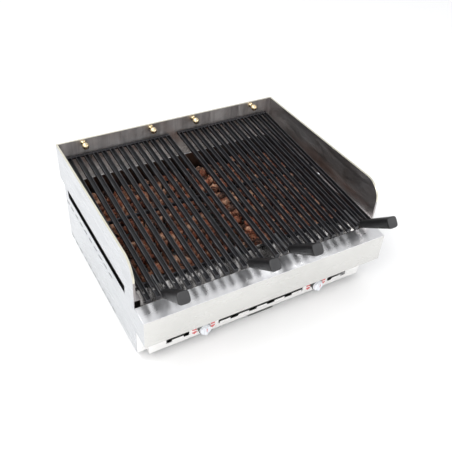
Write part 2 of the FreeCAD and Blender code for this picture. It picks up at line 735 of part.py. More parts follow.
def assemble():
    parts = {
        "backsplash": backsplash(),
        "rear_panel": rear_panel(),
        "base_pan": base_pan(),
        "control_panel": control_panel(),
        "front_fascia": front_fascia(),
        "drip_apron": drip_apron(),
        "grease_trough": grease_trough(),
        "firebox_front": firebox_front(),
        "firebox_rear": firebox_rear(),
        "grid_supports": grid_supports(),
        "burner_supports": burner_supports(),
        "gas_manifold": gas_manifold(),
        "supply_pipe": supply_pipe(),
        "gas_inlet": gas_inlet(),
        "grate_saddles": grate_saddles(),
        "brass_studs": brass_studs(),
        "drip_tray": drip_tray(),
        "tray_rails": tray_rails(),
        "case_screws": case_screws(),
    }
    paired = {
        "side_panel": side_panel(),
        "splash": side_splash(),
        "firebox": firebox_side(),
        "lava_grid": lava_grid(),
        "burner": burner(),
        "valve": valve(),
        "jet": jet(),
        "dial_plate": dial_plate(),
        "stem_collar": stem_collar(),
        "valve_stem": valve_stem(),
        "knob": knob(),
        "foot_front": foot(FOOT_X, FOOT_FRONT),
        "foot_rear": foot(FOOT_X, FOOT_REAR),
    }
    for name, shape in paired.items():
        both_sides(parts, name, shape)
    for side, hand in ((-1, "left"), (1, "right")):
        parts["lava_rocks_" + hand] = lava_rocks(side)
        parts["grate_bars_" + hand] = grate_bars(side)
        parts["grate_cross_bars_" + hand] = grate_cross_bars(side)
        parts["grate_feet_" + hand] = grate_feet(side)
        handles = [side * GRATE_X + offset for offset in (-HANDLE_OFFSET, HANDLE_OFFSET)]
        parts["handle_rods_" + hand] = [handle_rod(x) for x in handles]
        for number, x in enumerate(handles, 1):
            parts["grip_" + hand + "_" + str(number)] = grip(x)
    return parts


def footprint_centre(parts):
    """Y of the middle of the whole object, from the grips' tips to the backsplash."""
    foremost = parts["grip_right_1"].optimalBoundingBox(False, False).YMin
    return (foremost + SPLASH_REAR) / 2


def main():
    os.makedirs("parts", exist_ok=True)
    parts = assemble()
    centre = footprint_centre(parts)
    for name, shape in sorted(parts.items()):
        solid = Part.makeCompound(shape) if isinstance(shape, list) else shape.copy()
        solid.translate(point(0, -centre, FOOT_HEIGHT))
        solid.exportStep("parts/" + name + ".step")
        print(name, len(solid.Solids), "solid(s)", "valid" if solid.isValid() else "INVALID")
    axis_y, axis_z = pivot_axis()
    print("footprint centre at cabinet Y", round(centre, 4))
    print("grate pivot", round(axis_y - centre, 4), round(axis_z + FOOT_HEIGHT, 4))


main()
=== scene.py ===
import math
import random

import bmesh
import bpy
from mathutils import Matrix, Vector, noise


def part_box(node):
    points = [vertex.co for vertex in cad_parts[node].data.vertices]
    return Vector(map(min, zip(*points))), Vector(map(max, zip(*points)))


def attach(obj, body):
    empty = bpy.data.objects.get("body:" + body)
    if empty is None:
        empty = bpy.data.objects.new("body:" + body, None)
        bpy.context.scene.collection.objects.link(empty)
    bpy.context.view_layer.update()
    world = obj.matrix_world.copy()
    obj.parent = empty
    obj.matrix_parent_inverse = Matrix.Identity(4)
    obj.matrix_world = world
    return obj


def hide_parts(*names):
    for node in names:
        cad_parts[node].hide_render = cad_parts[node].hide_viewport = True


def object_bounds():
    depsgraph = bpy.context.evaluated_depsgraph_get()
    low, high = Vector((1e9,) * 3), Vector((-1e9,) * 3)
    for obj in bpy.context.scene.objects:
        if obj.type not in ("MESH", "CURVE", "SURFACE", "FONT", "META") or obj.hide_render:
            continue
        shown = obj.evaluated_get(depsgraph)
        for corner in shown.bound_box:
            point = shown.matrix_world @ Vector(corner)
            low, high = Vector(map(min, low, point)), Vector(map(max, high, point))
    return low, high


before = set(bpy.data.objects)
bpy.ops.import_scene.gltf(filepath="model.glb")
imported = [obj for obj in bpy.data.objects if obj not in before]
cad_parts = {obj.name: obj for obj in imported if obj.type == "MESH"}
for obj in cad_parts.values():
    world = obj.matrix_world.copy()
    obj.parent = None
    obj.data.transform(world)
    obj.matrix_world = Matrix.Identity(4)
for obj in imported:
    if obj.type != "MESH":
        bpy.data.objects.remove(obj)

CAD_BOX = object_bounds()

# The charbroiler's looks. Most CAD nodes keep their shape and get a procedural finish and
# softened edges. The grips, knobs, studs and lava rocks are finer meshes that stand for theirs.
# All lengths are in metres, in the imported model's own frame.

SIDES = ("left", "right")

# ---------------------------------------------------------------- camera
VIEW_AZIMUTH = -31.82         # degrees, from the front towards the left
VIEW_ELEVATION = 39.36
VIEW_ROLL = 3.92
VIEW_DISTANCE = 1.884
VIEW_TARGET = Vector((0.0033, -0.0091, 0.174))
SENSOR = 36.0
LENS = 47.46


def make_camera():
    """Camera at the given angles round its target, with a slight roll."""
    azimuth, elevation = math.radians(VIEW_AZIMUTH), math.radians(VIEW_ELEVATION)
    back = Vector((
        math.sin(azimuth) * math.cos(elevation),
        -math.cos(azimuth) * math.cos(elevation),
        math.sin(elevation),
    ))
    right = (-back).cross(Vector((0, 0, 1))).normalized()
    up = right.cross(-back)
    roll = math.radians(VIEW_ROLL)
    tilted_right = right * math.cos(roll) + up * math.sin(roll)
    tilted_up = up * math.cos(roll) - right * math.sin(roll)
    data = bpy.data.cameras.new("camera")
    data.lens = LENS
    data.sensor_width = SENSOR
    data.clip_start, data.clip_end = 0.05, 100
    camera = bpy.data.objects.new("camera", data)
    bpy.context.scene.collection.objects.link(camera)
    axes = Matrix((tilted_right, tilted_up, back)).transposed().to_4x4()
    camera.matrix_world = Matrix.Translation(VIEW_TARGET + back * VIEW_DISTANCE) @ axes
    bpy.context.scene.camera = camera


# ---------------------------------------------------------------- node helpers
def add(tree, kind, inputs=None, **settings):
    """Adds a node; inputs are numbers, colours, or output sockets to link."""
    made = tree.nodes.new(kind)
    for key, value in settings.items():
        setattr(made, key, value)
    for key, value in (inputs or {}).items():
        if isinstance(value, bpy.types.NodeSocket):
            tree.links.new(value, made.inputs[key])
        else:
            made.inputs[key].default_value = value
    return made


def new_material(name, metallic=0.0, **fixed):
    """A material with a Principled shader; fixed values go straight on its sockets."""
    material = bpy.data.materials.new(name)
    material.use_nodes = True
    tree = material.node_tree
    surface = tree.nodes["Principled BSDF"]
    surface.inputs["Metallic"].default_value = metallic
    for key, value in fixed.items():
        surface.inputs[key.replace("_", " ")].default_value = value
    place = add(tree, "ShaderNodeTexCoord").outputs["Object"]
    return material, tree, surface, place


def noise_at(tree, place, scale, stretch=(1, 1, 1), detail=4.0, rough=0.55, warp=0.0):
    """Noise over the surface, finer along the axes with the larger stretch."""
    mapped = add(tree, "ShaderNodeMapping", {"Vector": place, "Scale": stretch}).outputs[0]
    return add(tree, "ShaderNodeTexNoise", {
        "Vector": mapped, "Scale": scale, "Detail": detail, "Roughness": rough, "Distortion": warp,
    }).outputs["Fac"]


def ramp(tree, factor, stops):
    """Colour ramp from (position, colour) stops."""
    made = add(tree, "ShaderNodeValToRGB", {"Fac": factor})
    elements = made.color_ramp.elements
    while len(elements) < len(stops):
        elements.new(0.5)
    for element, (position, colour) in zip(elements, stops):
        element.position = position
        element.color = (*colour, 1)
    return made.outputs["Color"]


def rescale(tree, value, low, high, start=0.3, end=0.7):
    """Maps the range start..end of a value to low..high."""
    return add(tree, "ShaderNodeMapRange", {
        "Value": value, "From Min": start, "From Max": end, "To Min": low, "To Max": high,
    }).outputs["Result"]


def mix(tree, factor, first, second):
    """Mixes two colours, each a tuple or an output socket."""
    made = add(tree, "ShaderNodeMix", data_type="RGBA", blend_type="MIX")
    colours = [socket for socket in made.inputs if socket.type == "RGBA"]
    for socket, value in zip([made.inputs[0], *colours], (factor, first, second)):
        if isinstance(value, bpy.types.NodeSocket):
            tree.links.new(value, socket)
        elif isinstance(value, tuple):
            socket.default_value = (*value, 1)
        else:
            socket.default_value = value
    return [socket for socket in made.outputs if socket.type == "RGBA"][0]


def bump(tree, height, strength, distance, normal=None):
    """Normal from a height, on top of an earlier normal if there is one."""
    inputs = {"Height": height, "Strength": strength, "Distance": distance}
    if normal is not None:
        inputs["Normal"] = normal
    return add(tree, "ShaderNodeBump", inputs).outputs["Normal"]


def set_inputs(tree, surface, **links):
    """Links output sockets to a shader's inputs, whose spaces are written as underscores."""
    for key, value in links.items():
        tree.links.new(value, surface.inputs[key.replace("_", " ")])


# ---------------------------------------------------------------- materials
BRUSH_X = (1, 45, 45)         # stretch that draws the brush lines along X
BRUSH_Y = (45, 1, 45)
BRUSH_Z = (45, 45, 1)
STREAKS_Z = (9, 9, 0.6)       # stretch that draws the clouding out into upright streaks
SOOT = (0.035, 0.018, 0.012)
ROCK_PORE = (0.012, 0.006, 0.005)
ROCK_SHADE = (0.03, 0.012, 0.009)
# Bright orange at the top of the rock ramp: painted highlight.
ROCK_HIGHLIGHT = (0.85, 0.5, 0.33)
ROCK_GRIT = (0.8, 0.42, 0.28)


def brushed_steel(name, brush, light, dark, rough=(0.24, 0.4), grime=None, grime_share=0.0,
                  cloud_stretch=(1, 1, 1)):
    """Stainless sheet: long brush lines, faint clouding, wipe marks, optional heat grime."""
    material, tree, surface, place = new_material(name, metallic=1.0)
    grain = noise_at(tree, place, 30.0, brush, detail=6.0, rough=0.7)
    cloud = noise_at(tree, place, 5.0, cloud_stretch, detail=3.0, warp=0.6)
    wipe = noise_at(tree, place, 9.0, tuple(max(s / 12, 0.5) for s in brush), detail=2.0, warp=1.2)
    colour = mix(tree, rescale(tree, cloud, 0.0, 1.0), light, dark)
    colour = mix(tree, rescale(tree, grain, 0.0, 0.35), colour, dark)
    if grime:
        stain = noise_at(tree, place, 11.0, detail=5.0, warp=0.8)
        amount = rescale(tree, stain, 0.0, grime_share, 0.38, 0.68)
        colour = mix(tree, amount, colour, grime)
    low, high = rough
    lines = rescale(tree, grain, low, high)
    smear = rescale(tree, wipe, -0.05, 0.07, 0.35, 0.7)
    roughness = add(tree, "ShaderNodeMath", {0: lines, 1: smear}, operation="ADD").outputs[0]
    normal = bump(tree, grain, 0.12, 0.0002)
    normal = bump(tree, cloud, 0.1, 0.002, normal)
    set_inputs(tree, surface, Base_Color=colour, Roughness=roughness, Normal=normal)
    return material


def polished_steel(name, light, dark, rough):
    """Bright-annealed sheet: near-mirror, with faint rolling lines, ripples and smudges."""
    material, tree, surface, place = new_material(name, metallic=1.0)
    lines = noise_at(tree, place, 16.0, BRUSH_X, detail=4.0)
    ripple = noise_at(tree, place, 7.0, detail=1.0)
    smudge = noise_at(tree, place, 14.0, detail=4.0, warp=1.5)
    colour = mix(tree, rescale(tree, smudge, 0.0, 1.0, 0.35, 0.75), light, dark)
    streak = rescale(tree, lines, *rough)
    haze = rescale(tree, smudge, 0.0, 0.12, 0.4, 0.75)
    roughness = add(tree, "ShaderNodeMath", {0: streak, 1: haze}, operation="ADD").outputs[0]
    normal = bump(tree, lines, 0.04, 0.0002)
    normal = bump(tree, ripple, 0.12, 0.004, normal)
    set_inputs(tree, surface, Base_Color=colour, Roughness=roughness, Normal=normal)
    return material


def blackened_steel(name, base, worn):
    """Oiled black mill scale with scuffs, baked fat and fine drawing lines."""
    material, tree, surface, place = new_material(name, metallic=0.35)
    scale = noise_at(tree, place, 60.0, detail=5.0, rough=0.6)
    scuff = noise_at(tree, place, 22.0, (4, 1, 4), detail=4.0, warp=0.7)
    lines = noise_at(tree, place, 30.0, (30, 1, 30), detail=3.0)
    colour = mix(tree, rescale(tree, scuff, 0.0, 0.55, 0.5, 0.72), base, worn)
    colour = mix(tree, rescale(tree, scale, 0.0, 0.3, 0.5, 0.75), colour, SOOT)
    roughness = rescale(tree, scuff, 0.3, 0.52)
    normal = bump(tree, lines, 0.08, 0.0003)
    normal = bump(tree, scale, 0.12, 0.0006, normal)
    set_inputs(tree, surface, Base_Color=colour, Roughness=roughness, Normal=normal)
    return material


def lava_material(name, tint):
    """Porous volcanic rock: a tint with patches of painted shade and painted highlight, pale grit
    and black pores.
    """
    material, tree, surface, place = new_material(name)
    broad = noise_at(tree, place, 26.0, detail=4.0, warp=0.5)
    grit = noise_at(tree, place, 240.0, detail=6.0, rough=0.7)
    pores = add(tree, "ShaderNodeTexVoronoi", {"Vector": place, "Scale": 260.0, "Randomness": 1.0})
    pore = rescale(tree, pores.outputs["Distance"], 0.0, 1.0, 0.08, 0.42)
    # The ramp runs over noise from painted shade through the tint to painted highlight.
    colour = ramp(tree, broad, [
        (0.36, ROCK_SHADE), (0.45, tuple(0.55 * c for c in tint)), (0.54, tint), (0.64, ROCK_HIGHLIGHT),
    ])
    colour = mix(tree, rescale(tree, grit, 0.0, 0.75, 0.54, 0.68), colour, ROCK_GRIT)
    colour = mix(tree, pore, ROCK_PORE, colour)
    roughness = rescale(tree, grit, 0.7, 0.95)
    normal = bump(tree, pore, 0.7, 0.0012)
    normal = bump(tree, grit, 0.5, 0.0008, normal)
    set_inputs(tree, surface, Base_Color=colour, Roughness=roughness, Normal=normal)
    return material


def moulded_plastic(name, base, lighter, rough=(0.42, 0.6), grain=0.1, **fixed):
    """Moulded phenolic: fine pebble grain and handling shine."""
    material, tree, surface, place = new_material(name, **fixed)
    pebble = noise_at(tree, place, 700.0, detail=2.0)
    handled = noise_at(tree, place, 30.0, detail=4.0, warp=0.8)
    colour = mix(tree, rescale(tree, handled, 0.0, 1.0), base, lighter)
    roughness = rescale(tree, handled, *rough)
    normal = bump(tree, pebble, grain, 0.0004)
    set_inputs(tree, surface, Base_Color=colour, Roughness=roughness, Normal=normal)
    return material


def turned_brass(name):
    """Pale brass with fine turning rings and patches of tarnish."""
    material, tree, surface, place = new_material(name, metallic=1.0)
    tarnish = noise_at(tree, place, 90.0, detail=4.0, warp=0.5)
    rings = noise_at(tree, place, 120.0, (1, 14, 1), detail=2.0)
    colour = mix(tree, rescale(tree, tarnish, 0.0, 1.0), (0.93, 0.8, 0.55), (0.72, 0.56, 0.32))
    roughness = rescale(tree, tarnish, 0.16, 0.36)
    normal = bump(tree, rings, 0.1, 0.0002)
    set_inputs(tree, surface, Base_Color=colour, Roughness=roughness, Normal=normal)
    return material


def rubber(name):
    """Black rubber with a fine grit and patches of dust."""
    material, tree, surface, place = new_material(name)
    grit = noise_at(tree, place, 400.0, detail=4.0)
    dust = noise_at(tree, place, 40.0, detail=3.0)
    colour = mix(tree, rescale(tree, dust, 0.0, 0.6), (0.018, 0.018, 0.018), (0.07, 0.068, 0.065))
    roughness = rescale(tree, grit, 0.6, 0.85)
    normal = bump(tree, grit, 0.2, 0.0004)
    set_inputs(tree, surface, Base_Color=colour, Roughness=roughness, Normal=normal)
    return material


def printed_ink(name, colour, worn):
    """Printed ink that is worn thin in small patches."""
    material, tree, surface, place = new_material(name)
    wear = noise_at(tree, place, 350.0, detail=4.0)
    shade = mix(tree, rescale(tree, wear, 0.0, 1.0, 0.4, 0.75), colour, worn)
    roughness = rescale(tree, wear, 0.3, 0.5)
    set_inputs(tree, surface, Base_Color=shade, Roughness=roughness)
    return material


FRONT_STEEL = brushed_steel("front_steel", BRUSH_X, (0.7, 0.695, 0.675), (0.655, 0.65, 0.63))
# Darker, bluer copy of the front's stainless sheet for the sides and the splashes' outer walls:
# painted shade.
SHADED_SIDE_STEEL = brushed_steel("side_steel", BRUSH_Y, (0.55, 0.56, 0.575), (0.5, 0.51, 0.525))
REAR_STEEL = brushed_steel("rear_steel", BRUSH_X, (0.64, 0.64, 0.635), (0.58, 0.58, 0.58))
# Lighter, warmer copy of the sheet for the folded top rims: painted highlight.
RIM_HIGHLIGHT_STEEL = brushed_steel("rim_steel", BRUSH_Y, (0.78, 0.76, 0.66), (0.7, 0.67, 0.55),
                          rough=(0.3, 0.45))
INNER_SIDE = brushed_steel("inner_side_steel", BRUSH_Y, (0.56, 0.54, 0.54), (0.42, 0.4, 0.4),
                           rough=(0.32, 0.5), grime=(0.22, 0.16, 0.12), grime_share=0.4)
INNER_REAR = brushed_steel("inner_rear_steel", BRUSH_Z, (0.94, 0.9, 0.88), (0.56, 0.54, 0.54),
                           rough=(0.42, 0.56), grime=(0.36, 0.26, 0.2), grime_share=0.35,
                           cloud_stretch=STREAKS_Z)
HOT_STEEL = brushed_steel("firebox_steel", BRUSH_Y, (0.26, 0.24, 0.23), (0.14, 0.125, 0.115),
                          rough=(0.3, 0.5), grime=(0.1, 0.06, 0.04), grime_share=0.8)
TUBE_STEEL = brushed_steel("tube_steel", BRUSH_Y, (0.62, 0.61, 0.6), (0.45, 0.43, 0.42))
APRON_STEEL = polished_steel("apron_steel", (0.88, 0.88, 0.89), (0.8, 0.8, 0.82),
                             rough=(0.24, 0.36))
# Dark polished trough: grease dirt and painted shade under the grates' front ends.
SHADED_TROUGH_STEEL = polished_steel("trough_steel", (0.2, 0.19, 0.18), (0.1, 0.09, 0.085),
                              rough=(0.16, 0.34))
# Firebox front flange: polished, with near-black patches that are dirt and painted shade, so it
# glints only in places.
SHADED_RIDGE_STEEL = polished_steel("ridge_steel", (0.62, 0.6, 0.59), (0.12, 0.11, 0.1),
                             rough=(0.08, 0.22))
SHELF_STEEL = polished_steel("shelf_steel", (0.86, 0.85, 0.84), (0.6, 0.58, 0.56),
                             rough=(0.16, 0.3))
# Near-white copy of the front's stainless for the control panel and dial plates: painted light on
# a panel that sits in the fascia's shade.
LIT_PANEL_STEEL = brushed_steel("panel_steel", BRUSH_X, (0.96, 0.955, 0.945), (0.9, 0.895, 0.885))
GRATE_STEEL = blackened_steel("grate_steel", (0.012, 0.012, 0.015), (0.055, 0.055, 0.06))
# Lighter copy of the grate's black steel for the bars' top faces: painted highlight.
GRATE_TOP_HIGHLIGHT = blackened_steel("grate_edge_steel", (0.05, 0.05, 0.056), (0.2, 0.2, 0.21))
ROD_STEEL = blackened_steel("rod_steel", (0.03, 0.03, 0.032), (0.16, 0.16, 0.165))
BRASS = turned_brass("turned_brass")
RUBBER = rubber("foot_rubber")
GRIP_PLASTIC = moulded_plastic("grip_plastic", (0.0035, 0.0035, 0.004), (0.008, 0.008, 0.009),
                               rough=(0.36, 0.5), Specular_IOR_Level=0.3)
# Rougher, lighter copy of the grip plastic for the grips' end faces: the lighter colour is painted
# light.
LIT_GRIP_END = moulded_plastic("grip_end_plastic", (0.026, 0.026, 0.028), (0.044, 0.044, 0.046))
KNOB_PLASTIC = moulded_plastic("knob_plastic", (0.84, 0.86, 0.9), (0.74, 0.77, 0.82),
                               rough=(0.18, 0.32), grain=0.03)
# Dark grey-green plated skirt at the back of the knob: painted shade on the knob's side.
SHADE_SKIRT_STEEL = polished_steel("skirt_steel", (0.17, 0.19, 0.185), (0.11, 0.125, 0.12),
                             rough=(0.14, 0.26))
RED_INK = printed_ink("red_ink", (0.62, 0.06, 0.07), (0.75, 0.28, 0.28))
LAVA_RED = lava_material("lava_red", (0.5, 0.16, 0.085))
LAVA_BROWN = lava_material("lava_brown", (0.34, 0.14, 0.085))
LAVA_BLACK = lava_material("lava_black", (0.16, 0.09, 0.07))


# ---------------------------------------------------------------- CAD nodes: finish and soft edges
BAR_DEPTH = 0.011             # height of a channel bar
SPLASH_CORNER = 0.0602        # height of the side splashes' rounded front corner
SPLASH_RIM_X = 0.393          # the folded rim lies outside this X
SPLASH_RIM_TAIL = 0.02        # how far the rim runs on below that corner
RIM_DROP = 0.01               # the backsplash's rim lies above this drop from its top
FACING = 0.7                  # a face looks along an axis when its normal's part is over this
SOFT_ANGLE = math.radians(30)


def soften(node, width):
    """Rounds a CAD node's edges with modifiers, which leave its own mesh as it is."""
    weld = node.modifiers.new("weld", "WELD")
    weld.merge_threshold = 1e-5
    edge = node.modifiers.new("edge", "BEVEL")
    edge.width = width
    edge.segments = 2
    edge.limit_method = "ANGLE"
    edge.angle_limit = SOFT_ANGLE
    edge.use_clamp_overlap = True
    for polygon in node.data.polygons:
        polygon.use_smooth = True
    smooth = node.modifiers.new("smooth", "WEIGHTED_NORMAL")
    smooth.keep_sharp = False


def finish_node(name, *materials, choose=None, width=0.0004):
    """Gives a CAD node its materials; choose(face) says which of them a face takes."""
    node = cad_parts[name]
    node.data.materials.clear()
    for material in materials:
        node.data.materials.append(material)
    for polygon in node.data.polygons:
        polygon.material_index = choose(polygon) if choose else 0
    soften(node, width)


def splash_face(sign):
    """Outer wall, folded rim with its painted highlight, or inner wall of a side splash, from a
    face's place and direction.
    """
    rim_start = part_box("splash_right")[1].z - SPLASH_CORNER - SPLASH_RIM_TAIL

    def choose(face):
        if face.normal.x * sign > FACING:
            return 0
        folded = abs(face.center.x) > SPLASH_RIM_X and abs(face.normal.x) < FACING
        return 1 if folded and face.center.z > rim_start else 2

    return choose


def backsplash_face(face):
    """Outer wall, folded rim with its painted highlight, inner wall or the shelf at the foot of
    the backsplash.
    """
    if face.normal.y > FACING:
        return 0
    if face.normal.z < FACING:
        return 2
    return 1 if face.center.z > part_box("backsplash")[1].z - RIM_DROP else 3


def bar_face(side):
    """Painted highlight on the top faces of the channel bars of one grate, or their blackened
    walls and floors.
    """
    low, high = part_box("grate_bars_" + side)
    slope = (high.z - low.z - BAR_DEPTH) / (high.y - low.y)

    def choose(face):
        top = high.z - (high.y - face.center.y) * slope
        return 1 if face.normal.z > 0.9 and face.center.z > top - BAR_DEPTH / 2 else 0

    return choose


def dress_cad_nodes():
    """Finishes every CAD node that stays in sight."""
    finish_node("backsplash", REAR_STEEL, RIM_HIGHLIGHT_STEEL, INNER_REAR, SHELF_STEEL,
                choose=backsplash_face)
    finish_node("front_fascia", FRONT_STEEL)
    finish_node("control_panel", LIT_PANEL_STEEL)
    for name in ("rear_panel", "base_pan", "drip_tray", "tray_rails"):
        finish_node(name, REAR_STEEL)
    finish_node("drip_apron", APRON_STEEL)
    finish_node("grease_trough", SHADED_TROUGH_STEEL)
    finish_node("firebox_front", SHADED_RIDGE_STEEL)
    for name in ("firebox_left", "firebox_right", "firebox_rear", "grid_supports",
                 "burner_supports", "lava_grid_left", "lava_grid_right", "grate_saddles"):
        finish_node(name, HOT_STEEL)
    for name in ("gas_manifold", "supply_pipe", "burner_left", "burner_right",
                 "valve_stem_left", "valve_stem_right", "case_screws"):
        finish_node(name, TUBE_STEEL)
    for name in ("valve_left", "valve_right", "jet_left", "jet_right", "gas_inlet",
                 "stem_collar_left", "stem_collar_right"):
        finish_node(name, BRASS)
    for side, sign in zip(SIDES, (-1, 1)):
        # Side panels and the splashes' outer walls take the darker side steel: painted shade.
        finish_node("side_panel_" + side, SHADED_SIDE_STEEL)
        finish_node("splash_" + side, SHADED_SIDE_STEEL, RIM_HIGHLIGHT_STEEL, INNER_SIDE, choose=splash_face(sign))
        finish_node("dial_plate_" + side, LIT_PANEL_STEEL, width=0.0001)
        finish_node("grate_bars_" + side, GRATE_STEEL, GRATE_TOP_HIGHLIGHT, choose=bar_face(side),
                    width=0.0003)
        finish_node("grate_cross_bars_" + side, GRATE_STEEL, width=0.0006)
        finish_node("grate_feet_" + side, GRATE_STEEL)
        finish_node("handle_rods_" + side, ROD_STEEL)
        finish_node("foot_front_" + side, RUBBER, width=0.0008)
        finish_node("foot_rear_" + side, RUBBER, width=0.0008)


# ---------------------------------------------------------------- mesh helpers
def new_piece(name, mesh_or_bm, material, smooth=True):
    """Makes an object from a mesh or a bmesh whose points are in the model's frame."""
    if isinstance(mesh_or_bm, bmesh.types.BMesh):
        mesh = bpy.data.meshes.new(name)
        mesh_or_bm.to_mesh(mesh)
        mesh_or_bm.free()
    else:
        mesh = mesh_or_bm
    piece = bpy.data.objects.new(name, mesh)
    bpy.context.scene.collection.objects.link(piece)
    mesh.materials.append(material)
    for polygon in mesh.polygons:
        polygon.use_smooth = smooth
    return piece


def ring_stack(bm, rings):
    """Skins a list of rings, each a list of points, into a tube with capped ends."""
    rows = [[bm.verts.new(point) for point in ring] for ring in rings]
    count = len(rows[0])
    for low, high in zip(rows, rows[1:]):
        for index in range(count):
            after = (index + 1) % count
            bm.faces.new((low[index], low[after], high[after], high[index]))
    bm.faces.new(rows[0][::-1])
    bm.faces.new(rows[-1])


def superellipse(size, power, count):
    """Rounded square of a given width: points (u, v) round the origin."""
    points = []
    for index in range(count):
        angle = 2 * math.pi * (index + 0.5) / count
        c, s = math.cos(angle), math.sin(angle)
        reach = (abs(c) ** power + abs(s) ** power) ** (-1 / power)
        points.append((size / 2 * reach * c, size / 2 * reach * s))
    return points


# ---------------------------------------------------------------- grips
HANDLE_RISE = math.radians(38.1)
GRIP_PROFILE = (               # (share of the length, width in metres)
    (0.0, 0.0190), (0.004, 0.0205), (0.02, 0.0228), (0.05, 0.0236), (0.3, 0.0262), (0.6, 0.0294),
    (0.9, 0.0326), (0.95, 0.0334), (0.975, 0.0332), (0.99, 0.0318), (0.998, 0.0295), (1.0, 0.0272),
)
GRIP_LENGTH = 0.139
GRIP_FOOT = 0.0095            # half the width of the narrow end
GRIP_MARGIN = 0.0006          # keeps the end inside the CAD grip
GRIP_SQUARENESS = 4.2
GRIP_END_FACING = 0.6         # end faces point along the grip by more than this


def make_grip(name, body):
    """Moulded grip: a rounded square that widens to a softly edged, slightly domed end."""
    low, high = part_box(name)
    axis = Vector((0, -math.cos(HANDLE_RISE), math.sin(HANDLE_RISE)))
    across = Vector((1, 0, 0))
    up = axis.cross(across)
    foot = Vector(((low.x + high.x) / 2, high.y - GRIP_FOOT * math.sin(HANDLE_RISE),
                   low.z + GRIP_FOOT * math.cos(HANDLE_RISE)))
    bm = bmesh.new()
    rings = []
    for share, width in GRIP_PROFILE:
        centre = foot + axis * (share * (GRIP_LENGTH - GRIP_MARGIN))
        outline = superellipse(width, GRIP_SQUARENESS, 32)
        rings.append([centre + across * u + up * v for u, v in outline])
    ring_stack(bm, rings)
    piece = new_piece(name + "_moulded", bm, GRIP_PLASTIC)
    # The end faces take the lighter plastic: painted light.
    piece.data.materials.append(LIT_GRIP_END)
    for polygon in piece.data.polygons:
        if polygon.normal.dot(axis) > GRIP_END_FACING:
            polygon.material_index = 1
    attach(piece, body)
    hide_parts(name)


# ---------------------------------------------------------------- knobs, dials and studs
TO_FRONT = Vector((0, -1, 0))


def lathe(bm, centre, profile, count):
    """Turns a profile of (distance to the front, radius) about an axis through centre."""
    side = TO_FRONT.orthogonal().normalized()
    other = TO_FRONT.cross(side)
    rings = []
    for along, radius in profile:
        rings.append([
            centre + TO_FRONT * along
            + side * (radius * math.cos(2 * math.pi * i / count))
            + other * (radius * math.sin(2 * math.pi * i / count))
            for i in range(count)
        ])
    ring_stack(bm, rings)


KNOB_SKIRT = 0.0046           # thickness of the knob's plated skirt, which is coloured dark as painted shade
KNOB_PROFILE = (              # (distance from the back, radius)
    (0.0, 0.0060), (0.0, 0.0192), (0.0006, 0.0199), (0.0032, 0.0199), (0.0042, 0.0192),
    (0.0048, 0.0176), (0.0060, 0.0172), (0.0105, 0.0166), (0.0118, 0.0160), (0.0124, 0.0148),
    (0.0125, 0.0050),
)
FINGER_STEPS = 8              # sections along the knob's finger bar
FINGER_HALF_LENGTH = 0.0148
FINGER_FOOT = 0.010           # where the bar comes out of the knob's body
FINGER_WAIST, FINGER_FLARE = 0.0030, 0.0014   # half width at the middle, and what the ends add
FINGER_CREST, FINGER_DROP = 0.0176, 0.0022    # height at the middle, and what the ends lose
FINGER_BEVEL = 0.0012
FINGER_SPREAD = 0.0008        # how much wider the foot is than the top
POINTER_SIZE = (0.0022, 0.0006, 0.0125)
POINTER_PLACE = Vector((0, -0.01745, 0.0075))


def finger_bar(bm, back_centre):
    """Waisted bar across the knob, higher in the middle, with bevelled top edges."""
    previous = None
    for index in range(FINGER_STEPS + 1):
        share = index / FINGER_STEPS
        across = -FINGER_HALF_LENGTH + 2 * FINGER_HALF_LENGTH * share
        outward = abs(2 * share - 1)
        waist = FINGER_WAIST + FINGER_FLARE * outward ** 2
        crest = FINGER_CREST - FINGER_DROP * outward ** 3
        right_half = [
            (waist * 0.6, crest),
            (waist, crest - FINGER_BEVEL),
            (waist + FINGER_SPREAD, FINGER_FOOT),
        ]
        ring = [(-u, v) for u, v in right_half[::-1]] + right_half
        row = [bm.verts.new(back_centre + Vector((u, -v, across))) for u, v in ring]
        if previous is None:
            bm.faces.new(row[::-1])
        else:
            for left in range(len(row) - 1):
                right = left + 1
                bm.faces.new((previous[left], previous[right], row[right], row[left]))
        previous = row
    bm.faces.new(previous)


def make_pointer(side, body, back_centre):
    """Thin printed pointer let into the top of the finger bar."""
    bm = bmesh.new()
    place = Matrix.Translation(back_centre + POINTER_PLACE) @ Matrix.Diagonal((*POINTER_SIZE, 1))
    bmesh.ops.create_cube(bm, size=1, matrix=place)
    bmesh.ops.bevel(bm, geom=bm.edges[:], offset=0.0002, segments=2, affect="EDGES")
    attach(new_piece("knob_pointer_" + side, bm, RED_INK), body)


def make_knob(side, body):
    """Control knob: plated skirt coloured dark grey-green as painted shade of its side, round body
    and a waisted finger bar with a pointer.
    """
    name = "knob_" + side
    low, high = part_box(name)
    middle = (low + high) / 2
    back_centre = Vector((middle.x, high.y, middle.z))
    bm = bmesh.new()
    lathe(bm, back_centre, KNOB_PROFILE, 64)
    finger_bar(bm, back_centre)
    bmesh.ops.recalc_face_normals(bm, faces=bm.faces)
    piece = new_piece(name + "_moulded", bm, KNOB_PLASTIC)
    # The faces at the back take the dark skirt steel: painted shade on the knob's side.
    piece.data.materials.append(SHADE_SKIRT_STEEL)
    for polygon in piece.data.polygons:
        if polygon.center.y > high.y - KNOB_SKIRT:
            polygon.material_index = 1
    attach(piece, body)
    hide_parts(name)
    make_pointer(side, body, back_centre)


DIAL_MARKS = ((0, 26, 0.0150), (34, 60, 0.0125), (-26, -8, 0.0135))   # start, end, reach
MARK_STEPS = 8
MARK_START = 0.0215           # radius where a mark begins
MARK_GROWTH = 0.004
DIAL_HALF_WIDTH = 0.0405
DIAL_HALF_HEIGHT = 0.0155
INK_THICKNESS = 0.0001


